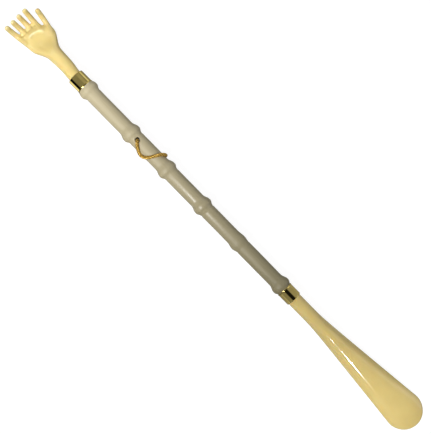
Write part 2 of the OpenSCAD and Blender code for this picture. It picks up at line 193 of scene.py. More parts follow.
# Shoe horn, by distance from the ferrule
HORN_L = HORN_TIP_X - NECK_X
NECK_R = 7.2 * MM
NECK_L = 25 * MM
TIP_R = 19.4 * MM
BLADE_T = 2.2 * MM
EDGE_SHARE = 0.6
RIM_SHARPNESS = 6
ARCH_NECK, ARCH_TIP = 8.6 * MM, 5.4 * MM
TIP_BEND, TIP_BEND_L = 4 * MM, 45 * MM
BLADE_WIDEST = HORN_L - TIP_R
BLADE_FROM, BLADE_BLEND_L = 0.6 * NECK_L, 1.8 * NECK_L
SPREAD_LAG = 0.1
CROWN_FLATNESS = 0.4
HORN_SIDES = 96
HORN_STEP = 2.5 * MM
HORN_BODY_L = BLADE_WIDEST + 3 * MM
HORN_TIP_ANGLES = (0, 6, 12, 18, 24, 30, 36, 42, 48, 54, 60, 66, 71, 76, 80, 84, 87, 89)

# Cord: its hole, and its route from the hole's centre on the axis, in millimetres
CORD_HOLE_D = 4.4 * MM
MOUTH_CHAMFER = 1.4 * MM
CORD_HOLE_OFFSET = 8.8 * MM
HOLE_DRAFT = 0.3 * MM
HOLE_SIDES = 48
CORD_ROUTE = [
    (13, 4.4, -9.6), (10.5, 4.4, -9.6), (7.9, 3.5, -9.7), (5.2, 2, -9.6), (2.8, 0.9, -9), (1, 0.2, -7.2),
    (0.2, 0, -4.8), (0.2, -0.1, -2.4), (0.2, -0.2, 0), (0.2, -0.2, 2.4), (0.2, -0.3, 4.7), (0.7, -0.8, 7),
    (1.9, -2.1, 8.7), (3.7, -4, 9.2), (6.1, -5.9, 8.1), (8.6, -7.5, 6), (11.3, -8.4, 4.2), (14.2, -8.4, 4.2),
    (17, -7.3, 5.7), (19.3, -5.3, 7.6), (21.4, -2.7, 8.8), (23.1, 0.1, 9.2), (24.6, 3, 8.8), (26.1, 5.7, 7.3),
    (27.7, 7.9, 4.8), (28.9, 9, 1.8), (29.4, 9.1, -1.2), (29.3, 8.4, -4), (28.6, 7.2, -6.1), (27.2, 6, -7.7),
    (25, 5, -8.9), (22.1, 4.4, -9.6), (19, 4.4, -9.6)]
CORD_STEPS = 5
STRANDS = 3
STRAND_R = 0.84 * MM
STRAND_OFFSET = 0.9 * MM
STRAND_LAY = 7.8 * MM
STRAND_ROUNDNESS = 2

# Knot: how it winds and swells, and the routes of its two tails from its middle, in millimetres
KNOT_TURNS = 2.5
KNOT_STEPS = 60
KNOT_SWELL, KNOT_START, KNOT_ARC = 2.5, 0.25, 0.8
TAIL_STEPS = 6
TAIL_ROUTES = [
    [(0.6, 0, -0.6), (1.2, -2.2, -1), (2, -4.4, -0.9), (3.4, -6.6, -0.7)],
    [(-0.6, 0, -0.6), (-1.4, -2.3, -1), (-1.6, -4.6, -1), (-2.6, -7, -0.8)]]

# Finish: sizes of grain, depths of bumps, and how dull each surface is
CLOUD_SIZE, SKIN_MARK_SIZE, SMEAR_SIZE = 14 * MM, 2.2 * MM, 5 * MM
FIBRE_W, FIBRE_STRETCH = 1.4 * MM, 0.06
YARN_W = 0.3 * MM
COARSE_DETAIL, FINE_DETAIL, YARN_DETAIL = 3.0, 4.0, 2.0
BUMP_DEPTH = 0.1 * MM
SKIN_BUMP, FIBRE_BUMP, YARN_BUMP = 0.02, 0.15, 0.3
HAND_DULLNESS, HORN_DULLNESS, MARK_DULLNESS = 0.33, 0.05, 0.06
GRIP_DULLNESS, HANDLE_DULLNESS, FIBRE_DULLNESS = 0.33, 0.48, 0.1
GRIP_X, GRIP_L = -28 * MM, 40 * MM
BRASS_SHINIEST, BRASS_DULLEST = 0.03, 0.08
THREAD_DULLNESS, THREAD_METAL = 0.3, 0.5
# Shares of the cord's radius where the thread's painted groove shade gives way to painted light
GROOVE_DARK, GROOVE_LIT = 0.62, 0.96
RESIN_IOR = 1.5
IVORY_GLOW, IVORY_GLOW_DEPTHS = 0.25, (2.4 * MM, 1.5 * MM, 0.6 * MM)
TABLE_DULLNESS, TABLE_SHEEN, TABLE_GLOW = 0.9, 0.1, 0.94

# Stage
TABLE_SIZE, TABLE_DROP = 4, 0.4 * MM
TENT_R, TENT_SIDES, TENT_RINGS = 10.0, 48, 24

# The room's cards: glow, then the range of directions along X, Y and Z; the narrow ones show in the ferrules alone
CARD_BLUR = 0.05
ALL, UP, DOWN, HAND_END, HORN_END = (-2, 2), (0, 2), (-2, 0), (-2, 0), (0, 2)
BY_HAND, BY_HORN = (-0.3, -0.15), (0.1, 0.24)
ROOM_CARDS = [
    (0.26, ALL, ALL, UP), (0.3, ALL, ALL, DOWN), (-0.25, ALL, (-2, -0.3), DOWN),
    (-0.25, HORN_END, (-0.4, 0.4), UP), (-0.26, HAND_END, (-2, -0.82), UP),
    (1.2, (-2, -0.36), (0.6, 2), UP), (1.2, (0.33, 2), (0.6, 2), UP),
    (1.1, BY_HAND, (-2, -0.5), (-2, -0.15)), (0.55, BY_HAND, (0.8, 2), (-0.2, 0.2)), (0.12, BY_HAND, (0.3, 0.85), UP),
    (0.12, BY_HORN, (0.5, 2), ALL), (0.4, BY_HORN, (-2, -0.5), (-2, 0.2))]

# Lamps: name, place, aim and size in metres, spread of the beam, and power in watts
WIDE_SPREAD, POOL_SPREAD = math.radians(90), math.radians(30)
LAMPS = [
    ("hand_lamp", (-0.05, -0.33, 0.62), (-0.22, 0, 0), (0.15, 0.15), WIDE_SPREAD, 0.98),
    ("palm_lamp", (-0.55, -0.2, 0.42), (-0.265, 0, 0), (0.1, 0.1), POOL_SPREAD, 0.018),
    ("handle_lamp", (-0.06, -0.63, 0.8), (0, 0, 0), (0.12, 0.12), WIDE_SPREAD, 0.55),
    ("horn_lamp", (0.4, -0.27, 0.45), (0.25, 0, 0), (0.03, 0.05), POOL_SPREAD, 0.042)]

# Places along the handle, by distance from its hand end
handle_mid = HANDLE_L / 2
NODE_PLACES = [COLLAR_INSET, handle_mid - 1.5 * NODE_PITCH, handle_mid - NODE_PITCH / 2,
               handle_mid + NODE_PITCH / 2, handle_mid + 1.5 * NODE_PITCH, HANDLE_L - COLLAR_INSET]
NODE_RISES = [NODE_RISE] * 4 + [FAINT_NODE_RISE, NODE_RISE]
RIPPLE_FROM_T, FAINT_NODE_T = NODE_PLACES[2], NODE_PLACES[4]
CORD_HOLE_T = NODE_PLACES[1] + CORD_HOLE_OFFSET
CORD_HOLE = Vector((HANDLE_X + CORD_HOLE_T, 0, AXIS_Z))


def mix(a, b, t):
    return a + (b - a) * t


def clamped(t):
    return max(0.0, min(1.0, t))


def ease(t):
    c = clamped(t)
    return c * c * (3 - 2 * c)


def power(v, p):
    return math.copysign(abs(v) ** p, v)


def start(name):
    """Names the primitive that was just added and opens it for editing, all selected."""
    piece = bpy.context.object
    piece.name = piece.data.name = name
    bpy.ops.object.transform_apply(location=True, rotation=True, scale=True)
    bpy.ops.object.mode_set(mode="EDIT")
    bpy.ops.mesh.select_all(action="SELECT")
    return piece


def stop():
    """Closes the piece that is being edited: doubles merged, faces outwards, shaded smooth."""
    bpy.ops.mesh.select_all(action="SELECT")
    bpy.ops.mesh.remove_doubles(threshold=MERGE_WITHIN)
    bpy.ops.mesh.normals_make_consistent(inside=False)
    bpy.ops.object.mode_set(mode="OBJECT")
    bpy.ops.object.shade_smooth_by_angle(angle=SMOOTH_ANGLE)


def turned(name, outline, sides):
    """Draws a half outline of (x, radius) points from one vertex and spins it round the handle's axis."""
    bpy.ops.object.select_all(action="DESELECT")
    x, r = outline[0]
    bpy.ops.mesh.primitive_plane_add(size=MM, location=(x, 0, AXIS_Z + r))
    piece = start(name)
    bpy.ops.mesh.merge(type="CENTER")
    for (x, r), (next_x, next_r) in zip(outline, outline[1:]):
        bpy.ops.mesh.extrude_vertices_move(TRANSFORM_OT_translate={"value": (next_x - x, 0, next_r - r)})
    bpy.ops.mesh.select_all(action="SELECT")
    bpy.ops.mesh.spin(steps=sides, angle=2 * math.pi, center=(0, 0, AXIS_Z), axis=(1, 0, 0))
    stop()
    return piece


def drawn_tube(name, stations, sides, place):
    """Extrudes a ring along X through the stations, closes it, and moves each vertex to place(station, angle)."""
    bpy.ops.object.select_all(action="DESELECT")
    bpy.ops.mesh.primitive_circle_add(vertices=sides, radius=MM, location=(stations[0], 0, 0),
                                      rotation=(0, math.pi / 2, 0))
    piece = start(name)
    for a, b in zip(stations, stations[1:]):
        bpy.ops.mesh.extrude_region_move(TRANSFORM_OT_translate={"value": (b - a, 0, 0)})
    bpy.ops.mesh.select_all(action="SELECT")
    bpy.ops.mesh.fill_holes(sides=0)
    bpy.ops.object.mode_set(mode="OBJECT")
    for v in piece.data.vertices:
        v.co = place(v.co.x, math.atan2(v.co.z, v.co.y))
    bpy.ops.object.mode_set(mode="EDIT")
    stop()
    return piece


def joined(pieces):
    """Joins pieces into the first of them."""
    bpy.ops.object.select_all(action="DESELECT")
    for p in pieces:
        p.select_set(True)
    bpy.context.view_layer.objects.active = pieces[0]
    bpy.ops.object.join()
    return pieces[0]


def finished_with(piece, kind, **settings):
    """Adds a modifier with its settings and applies it."""
    bpy.ops.object.select_all(action="DESELECT")
    piece.select_set(True)
    bpy.context.view_layer.objects.active = piece
    modifier = piece.modifiers.new(kind.title(), kind)
    for key, value in settings.items():
        setattr(modifier, key, value)
    bpy.ops.object.modifier_apply(modifier=modifier.name)


def srgb(code):
    """Linear colour of an sRGB hex value such as #ffcc00."""
    parts = [int(code[i:i + 2], 16) / 255 for i in (1, 3, 5)]
    return tuple(c / 12.92 if c <= 0.04045 else ((c + 0.055) / 1.055) ** 2.4 for c in parts) + (1.0,)


def fill(tree, node, sockets):
    """Fills a node's sockets from values or from other nodes' outputs."""
    for key, value in sockets.items():
        if isinstance(value, bpy.types.NodeSocket):
            tree.links.new(value, node.inputs[key])
        else:
            node.inputs[key].default_value = value


def add_node(tree, kind, sockets=None, **settings):
    """Adds a node with its settings and fills its sockets."""
    new = tree.nodes.new(kind)
    for key, value in settings.items():
        setattr(new, key, value)
    fill(tree, new, sockets or {})
    return new


def object_place(tree):
    """The place on the object, as a node's output."""
    return add_node(tree, "ShaderNodeTexCoord").outputs["Object"]


def grain(tree, where, size, detail):
    """Noise with grains of a size, from 0 to 1."""
    return add_node(tree, "ShaderNodeTexNoise", {"Vector": where, "Scale": 1 / size, "Detail": detail}).outputs["Fac"]


def blended(tree, share, low, high):
    """A colour between two others."""
    return add_node(tree, "ShaderNodeMix", {0: share, 6: low, 7: high}, data_type="RGBA").outputs[2]


def ranged(tree, value, from_min, from_max, to_min=0.0, to_max=1.0):
    """A value moved from one range to another, and kept within it."""
    return add_node(tree, "ShaderNodeMapRange", {"Value": value, "From Min": from_min, "From Max": from_max,
                                                 "To Min": to_min, "To Max": to_max}).outputs[0]


def worked_out(tree, operation, *values):
    """The result of a sum with one to three values."""
    return add_node(tree, "ShaderNodeMath", dict(enumerate(values)), operation=operation).outputs[0]


def bumped(tree, height, strength):
    """A normal that follows small bumps."""
    return add_node(tree, "ShaderNodeBump",
                    {"Height": height, "Strength": strength, "Distance": BUMP_DEPTH}).outputs[0]


def new_material(name):
    """An empty material with its shader, ready for nodes."""
    material = bpy.data.materials.new(name)
    material.use_nodes = True
    return material, material.node_tree, material.node_tree.nodes["Principled BSDF"]


# Camera straight above the object, turned as the photograph is
camera = bpy.data.objects.new("camera", bpy.data.cameras.new("camera"))
bpy.context.scene.collection.objects.link(camera)
camera.data.sensor_width = SENSOR
camera.data.lens = SENSOR * CAMERA_UP / (PHOTO_H * PIXEL)
camera.location = (*CAMERA_AT, AXIS_Z + CAMERA_UP)
camera.rotation_euler = (0, 0, PHOTO_TURN)
camera.data.clip_start, camera.data.clip_end = CLIP_NEAR, CLIP_FAR
bpy.context.scene.camera = camera


def curve_through(points, per_span):
    """Points of a smooth curve that passes through the given ones."""
    out = []
    for i in range(len(points) - 1):
        p0, p1, p2, p3 = points[max(i - 1, 0)], points[i], points[i + 1], points[min(i + 2, len(points) - 1)]
        for j in range(per_span):
            t = j / per_span
            out.append(0.5 * (2 * p1 + (p2 - p0) * t + (2 * p0 - 5 * p1 + 4 * p2 - p3) * t * t
                              + (3 * p1 - p0 - 3 * p2 + p3) * t ** 3))
    return out + [points[-1]]


def twisted_strands(name, line):
    """A twisted cord along a line: strands as bevelled curves, made mesh and joined, with their grooves marked for the
    painted groove shade.
    """
    normal, travelled, rings = Vector((0, 0, 1)), 0.0, []
    for i, p in enumerate(line):
        ahead = (line[min(i + 1, len(line) - 1)] - line[max(i - 1, 0)]).normalized()
        normal = (normal - ahead * normal.dot(ahead)).normalized()
        travelled += (p - line[i - 1]).length if i else 0
        rings.append((p, normal.copy(), ahead.cross(normal), travelled))
    strands = []
    for k in range(STRANDS):
        data = bpy.data.curves.new(f"{name}_{k}", "CURVE")
        data.dimensions = "3D"
        data.bevel_depth, data.bevel_resolution, data.use_fill_caps = STRAND_R, STRAND_ROUNDNESS, True
        spline = data.splines.new("POLY")
        spline.points.add(len(rings) - 1)
        for point, (p, n, b, s) in zip(spline.points, rings):
            turn = 2 * math.pi * (k / STRANDS + s / STRAND_LAY)
            point.co = (*(p + STRAND_OFFSET * (math.cos(turn) * n + math.sin(turn) * b)), 1)
        strand = bpy.data.objects.new(f"{name}_{k}", data)
        bpy.context.scene.collection.objects.link(strand)
        strands.append(strand)
    bpy.ops.object.select_all(action="DESELECT")
    for s in strands:
        s.select_set(True)
    bpy.context.view_layer.objects.active = strands[0]
    bpy.ops.object.convert(target="MESH")
    piece = joined(strands)
    piece.name = piece.data.name = name
    bpy.ops.object.shade_smooth()
    # Depth of each point below the strands' tops, which the thread's material turns into painted groove shade
    groove = piece.data.attributes.new("groove", "FLOAT", "POINT")
    for v in piece.data.vertices:
        groove.data[v.index].value = min((v.co - p).length for p in line) / (STRAND_R + STRAND_OFFSET)
    return piece


# Hanging cord: out of the knot, up through the hole, over the handle and round its far edge
cord_line = curve_through([CORD_HOLE + Vector(p) * MM for p in CORD_ROUTE], CORD_STEPS)
cord = twisted_strands("hanging_cord_twisted", cord_line)

# Knot: both ends of the cord wound round each other, with two short tails under the handle
knot_from, knot_to = cord_line[0], cord_line[-1]
knot_lo, knot_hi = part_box("cord_knot")
knot_r = knot_hi.z / 2 - knot_lo.z / 2 - STRAND_R - STRAND_OFFSET
knot_line = []
for step in range(KNOT_STEPS + 1):
    t = step / KNOT_STEPS
    turn = 2 * math.pi * KNOT_TURNS * t
    swell = math.sin(math.pi * clamped(min(t, 1 - t) * KNOT_SWELL + KNOT_START) * KNOT_ARC)
    out = knot_r * swell if 0 < t < 1 else 0
    knot_line.append(mix(knot_from, knot_to, t) + out * Vector((0, math.cos(turn), math.sin(turn))))
knot_mid = mix(knot_from, knot_to, 0.5)
tails = [curve_through([knot_mid + Vector(p) * MM for p in route], TAIL_STEPS) for route in TAIL_ROUTES]
knot = joined([twisted_strands("knot_wound", knot_line)]
              + [twisted_strands(f"knot_tail_{i}", line) for i, line in enumerate(tails)])
knot.name = knot.data.name = "cord_knot_wound"


def handle_radius(t):
    """Radius of the handle at a distance from its hand end."""
    r = mix(HANDLE_R_HAND, HANDLE_R_HORN, t / HANDLE_L)
    for place, rise in zip(NODE_PLACES, NODE_RISES):
        up, down = t - place + NODE_CREST_L / 2, t - place - NODE_CREST_L / 2
        r += rise * (ease(1 + up / NODE_SLOPE_L) if up < 0 else ease(1 - max(0, down) / NODE_FALL_L))
        r -= SCAR_DEPTH * ease(1 - abs(down - NODE_FALL_L - SCAR_W / 2) / (SCAR_W / 2))
    return r


def hole_outline():
    """Half outline of the drill for the cord hole, with a countersink at both mouths."""
    wall = handle_radius(CORD_HOLE_T)
    far, near, r = wall + 2 * MOUTH_CHAMFER, wall - MOUTH_CHAMFER, CORD_HOLE_D / 2
    wide = r + 3 * MOUTH_CHAMFER
    half = [(-far, 0), (-far, wide), (-near, r - HOLE_DRAFT), (near, r), (far, wide), (far, 0)]
    return [(CORD_HOLE.x + x, radius) for x, radius in half]


def handle_piece():
    """The bamboo-form handle: turned, then made a little uneven, then drilled for the cord."""
    count = round(HANDLE_L / HANDLE_STEP)
    hand_spigot_r, horn_spigot_r = HANDLE_R_HAND - SPIGOT_STEP, HANDLE_R_HORN - SPIGOT_STEP
    near = [(-SPIGOT_L, 0), (-SPIGOT_L, hand_spigot_r), (0, hand_spigot_r)]
    skin = [(t, handle_radius(t)) for t in [HANDLE_L * i / count for i in range(count + 1)]]
    far = [(HANDLE_L, horn_spigot_r), (HANDLE_L + SPIGOT_L, horn_spigot_r), (HANDLE_L + SPIGOT_L, 0)]
    piece = turned("bamboo_form_handle", [(HANDLE_X + t, r) for t, r in near + skin + far], HANDLE_SIDES)
    for v in piece.data.vertices:
        t = v.co.x - HANDLE_X
        out = Vector((0, v.co.y, v.co.z - AXIS_Z))
        if not 0 <= t <= HANDLE_L or out.length < HANDLE_R_HORN - SKIN_SLACK:
            continue
        side = out.normalized()
        inside = ease(min(t, HANDLE_L - t) / NODE_PITCH * STEADY_ENDS)
        rippled = ease((t - RIPPLE_FROM_T) / NODE_SLOPE_L - 1) * ease((FAINT_NODE_T - t) / NODE_SLOPE_L - 1)
        ripple = RIPPLE_H * rippled * math.sin(2 * math.pi * t / RIPPLE_PITCH)
        spot = (t / NODE_PITCH * WANDER_ALONG, side.y * WANDER_ROUND, side.z * WANDER_ROUND)
        uneven = HANDLE_WANDER * noise.noise(spot)
        bump = FAINT_NODE_SIDE * ease(1 - abs(t - FAINT_NODE_T) / NODE_SLOPE_L) * max(0, -side.y) ** 2
        v.co += side * ((ripple + uneven) * inside + bump)
    cutter = turned("hole_cutter", hole_outline(), HOLE_SIDES)
    for v in cutter.data.vertices:
        x, y, z = v.co.x - CORD_HOLE.x, v.co.y, v.co.z - AXIS_Z
        v.co = CORD_HOLE + Vector((z, y, x))
    bpy.ops.object.mode_set(mode="EDIT")
    stop()
    finished_with(piece, "BOOLEAN", object=cutter, operation="DIFFERENCE", solver="EXACT")
    bpy.data.objects.remove(cutter)
    bpy.ops.object.shade_smooth_by_angle(angle=SMOOTH_ANGLE)
    return piece


handle = handle_piece()


def ferrule_piece(name, node, edge_x, mouth_x, neck_r):
    """A sheet-metal sleeve: rolled bead at the handle, rounded shoulder, lip turned in to the neck."""
    lo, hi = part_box(node)
    r = (hi.z - lo.z) / 2 - BEAD_H
    along = math.copysign(1, mouth_x - edge_x)
    length, inner, lip = abs(mouth_x - edge_x), r - FERRULE_T, neck_r + LIP_GAP
    shoulder = min(FERRULE_T, (r - lip) / 2)
    bead_turns = [math.pi * i / BEAD_STEPS for i in range(BEAD_STEPS + 1)]
    bead = [(BEAD_W * (1 - math.cos(a)) / 2, r + BEAD_H * math.sin(a)) for a in bead_turns]
    plain = [(mix(BEAD_W, length - shoulder, i / PLAIN_STEPS), r) for i in range(1, PLAIN_STEPS)]
    shoulder_turns = [math.pi / 2 * i / SHOULDER_STEPS for i in range(SHOULDER_STEPS + 1)]
    round_over = [(length - shoulder * (1 - math.sin(a)), r - shoulder * (1 - math.cos(a))) for a in shoulder_turns]
    outline = [(0, inner)] + bead + plain + round_over + [
        (length, lip + LIP_CHAMFER), (length - LIP_CHAMFER, lip), (length - FERRULE_T, lip),
        (length - FERRULE_T, inner), (0, inner)]
    return turned(name, [(edge_x + along * d, radius) for d, radius in outline], FERRULE_SIDES)


upper_ferrule = ferrule_piece("gilt_ferrule_at_hand", "upper_ferrule", HANDLE_X, WRIST_X, WRIST_D / 2)
lower_ferrule = ferrule_piece("gilt_ferrule_at_horn", "lower_ferrule", HANDLE_END_X, NECK_X, NECK_R)


def spread(d):
    """How far the horn has widened from its neck to its widest place, from 0 to 1."""
    t = clamped((d - NECK_L) / (BLADE_WIDEST - NECK_L))
    return (1 + SPREAD_LAG) * t * t / (t + SPREAD_LAG)


def half_width(d):
    """Half the width of the horn: a widening blade with a round tip."""
    if d < BLADE_WIDEST:
        return mix(NECK_R, TIP_R, spread(d))
    return math.sqrt(max(0, TIP_R ** 2 - (d - BLADE_WIDEST) ** 2))


def bend_down(d):
    """How far the tip of the horn bends down."""
    return TIP_BEND * max(0, (d - HORN_L + TIP_BEND_L) / TIP_BEND_L) ** 2


def horn_place(d, angle):
    """A point of the horn's skin: round neck that turns into an arched blade with rounded edges."""
    u, over = math.cos(angle), math.sin(angle) >= 0
    drop = NECK_R + AXIS_Z - bend_down(BLADE_WIDEST) - ARCH_TIP - BLADE_T * EDGE_SHARE
    crown = (NECK_R - drop * spread(min(d, BLADE_WIDEST))
             - drop / BLADE_WIDEST * max(0, d - BLADE_WIDEST) - bend_down(d))
    share = ease((d - BLADE_FROM) / BLADE_BLEND_L)
    arch = mix(ARCH_NECK, ARCH_TIP, clamped((d - NECK_L) / (BLADE_WIDEST - NECK_L)))
    y = u * half_width(d)
    round_z = math.sqrt(max(0, 1 - u * u)) * NECK_R
    across = (y / half_width(min(d, BLADE_WIDEST))) ** 2
    top = mix(round_z, crown - arch * mix(across, across ** 2, CROWN_FLATNESS), share)
    to_rim = math.hypot(d - BLADE_WIDEST, y) / TIP_R if d > BLADE_WIDEST else abs(u)
    blade = BLADE_T * math.sqrt(max(0, 1 - to_rim ** RIM_SHARPNESS))
    top -= (BLADE_T - blade) / 2 * share
    wall = mix(2 * round_z, blade, share)
    return Vector((NECK_X + d, y, AXIS_Z + (top if over else top - wall)))


def horn_piece():
    """The shoe horn: a tube drawn out along the blade, closed at the round tip."""
    body = [-TUCK_L + i * HORN_STEP for i in range(int(HORN_BODY_L / HORN_STEP))]
    tip = [BLADE_WIDEST + TIP_R * math.sin(math.radians(a)) for a in HORN_TIP_ANGLES]
    piece = drawn_tube("moulded_shoe_horn", body + tip, HORN_SIDES, horn_place)
    finished_with(piece, "SUBSURF", levels=1, render_levels=1)
    return piece


shoe_horn = horn_piece()


def hand_point(e, y, z):
    """A point of the hand from its distance to the ferrule, its side and its height over the axis."""
    return Vector((WRIST_X - e, y, AXIS_Z + z))


def flare(e):
    """How far the wrist has widened into the palm, from 0 to 1."""
    return ease((e - WRIST_L) / PALM_FLARE_L)


def palm_place(e, angle):
    """A point of the skin of the wrist and palm, dished between its rims."""
    half_w = mix(WRIST_D, HEEL_W, clamped(e / WRIST_L)) / 2
    half_h = mix(WRIST_D, HEEL_H, clamped(e / WRIST_L)) / 2
    lean = WRIST_LEAN * ease(e / (WRIST_L / 2))
    thumb_in = (PALM_THUMB_W - INDEX_EDGE) * ease((e - CREASE_E) / INDEX_EDGE_L + 0.5)
    little_out = (LITTLE_FINGER_Y + FINGER_W / 2 - PALM_LITTLE_W) * clamped((e - CREASE_E) / CREASE_SET_BACK)
    hi = mix(lean + half_w, PALM_THUMB_W, flare(e)) - thumb_in
    lo = mix(lean - half_w, -PALM_LITTLE_W, flare(e)) - little_out
    top = mix(half_h, -PALM_RIM_DROP, flare(e)) - CREASE_FALL * ease((e - CREASE_E) / CREASE_SET_BACK)
    sunk = ease((e - WRIST_L / 2) / (PALM_DEEP_E - WRIST_L / 2))
    raised = (AXIS_Z - KNUCKLE_BACK_DROP) * ease((e - PALM_DEEP_E) / KNUCKLE_RISE_L)
    back = mix(-half_h, -AXIS_Z, sunk) + raised
    mid = mix(back, top, mix(WRIST_MID, PALM_MID, flare(e)))
    square = mix(1, PALM_SQUARENESS, flare(e))
    u, v = power(math.cos(angle), square), power(math.sin(angle), square)
    hollow = (PALM_CUP * ease((e - WRIST_L - CUP_FROM) / CUP_FADE_IN)
              * ease((CREASE_E + CUP_PAST_CREASE - e) / CUP_FADE_OUT))
    dish = hollow * max(0, 1 - (u / CUP_W) ** 2) ** CUP_ROUNDNESS if v > 0 else 0
    n = clamped((e - WEB_E + PALM_END_L) / PALM_END_L)
    height = ((top - mid) if v > 0 else (mid - back)) * v * math.sqrt(max(PALM_END_LEAST, 1 - n * n))
    return hand_point(e, (hi + lo) / 2 + u * (hi - lo) / 2, mid + height - dish)


def finger_piece(root, fan, root_l):
    """A finger: a straight root inside the palm, a curl upwards, a taper and a round tip."""
    curl_l = CURL_R * CURL_ANGLE
    tip_r = FINGERTIP_W / 2

    def place(run, angle):
        bent = clamped(run / curl_l)
        turn = CURL_ANGLE * bent
        past = max(0, run - curl_l)
        ahead = run if run < 0 else CURL_R * math.sin(turn) + past * math.cos(turn)
        rise = 0 if run < 0 else CURL_R * (1 - math.cos(turn)) + past * math.sin(turn)
        end = math.sqrt(max(FINGERTIP_LEAST, 1 - (past / tip_r) ** 2))
        start_share = mix(ROOT_SHARE, 1, ease(1 + run / root_l)) if run < 0 else 1
        side = mix(FINGER_W, FINGERTIP_W, bent) / 2 * end * start_share * math.cos(angle)
        up = mix(FINGER_T, FINGERTIP_T, bent) / 2 * end * start_share * math.sin(angle)
        out = ahead - up * math.sin(turn)
        return hand_point(root[0] + out * math.cos(fan) - side * math.sin(fan),
                          root[1] + out * math.sin(fan) + side * math.cos(fan), root[2] + rise + up * math.cos(turn))

    stations = ([-root_l * (1 - i / ROOT_STEPS) for i in range(ROOT_STEPS)]
                + [curl_l * i / CURL_STEPS for i in range(CURL_STEPS + 1)]
                + [curl_l + tip_r * math.sin(math.radians(a)) for a in FINGERTIP_ANGLES])
    return drawn_tube("finger", stations, FINGER_SIDES, place)


def mound(a, b, r_a, r_b):
    """A soft swelling between two points: a ball stretched from the first to the second."""
    bpy.ops.object.select_all(action="DESELECT")
    bpy.ops.mesh.primitive_uv_sphere_add(segments=MOUND_SIDES, ring_count=MOUND_RINGS, radius=1)
    piece = start("mound")
    bpy.ops.object.mode_set(mode="OBJECT")
    first, second = hand_point(*a), hand_point(*b)
    turn = Vector((0, 0, 1)).rotation_difference((second - first).normalized())
    for v in piece.data.vertices:
        end, r = (second, r_b) if v.co.z > 0 else (first, r_a)
        v.co = end + (turn @ v.co) * r
    return piece


def nearness(e, y, line):
    """Distance to a line of (e, y) points, the share of it passed there, and whether it is on the fingers' side."""
    best, share, beyond = 1.0, 0.0, False
    for i, ((e0, y0), (e1, y1)) in enumerate(zip(line, line[1:])):
        run = (e1 - e0) ** 2 + (y1 - y0) ** 2
        t = clamped(((e / MM - e0) * (e1 - e0) + (y / MM - y0) * (y1 - y0)) / run)
        away = math.hypot(e / MM - mix(e0, e1, t), y / MM - mix(y0, y1, t)) * MM
        if away < best:
            best, share, beyond = away, (i + t) / (len(line) - 1), e / MM > mix(e0, e1, t)
    return best, share, beyond


def faded(share):
    """How strong a palm line is at a share of its length: it fades out at both ends."""
    return ease(share * LINE_FADE) * ease((1 - share) * LINE_FADE)


def palm_line_height(e, y):
    """How far the lines of the palm stand out of it or are cut into it."""
    height = 0
    for line, depth, wrist_side, finger_side in PALM_LINES:
        away, share, beyond = nearness(e, y, line)
        width = finger_side if beyond else wrist_side
        height += depth * math.exp(-(away / width) ** 2) * faded(share)
    return height


def painted_highlight_share(e, y, up):
    """How far the hand is painted pale as a highlight: along the ridge of the palm where it faces up, and at the tips
    of the fingers.
    """
    away, share, _ = nearness(e, y, PALM_LINES[0][0])
    ridge = math.exp(-(away / HIGHLIGHT_W) ** 2) * faded(share) * clamped(up * HIGHLIGHT_FACING_GAIN)
    return max(ridge, TIP_HIGHLIGHT * ease((e - HAND_L) / FINGERTIP_W + 1))


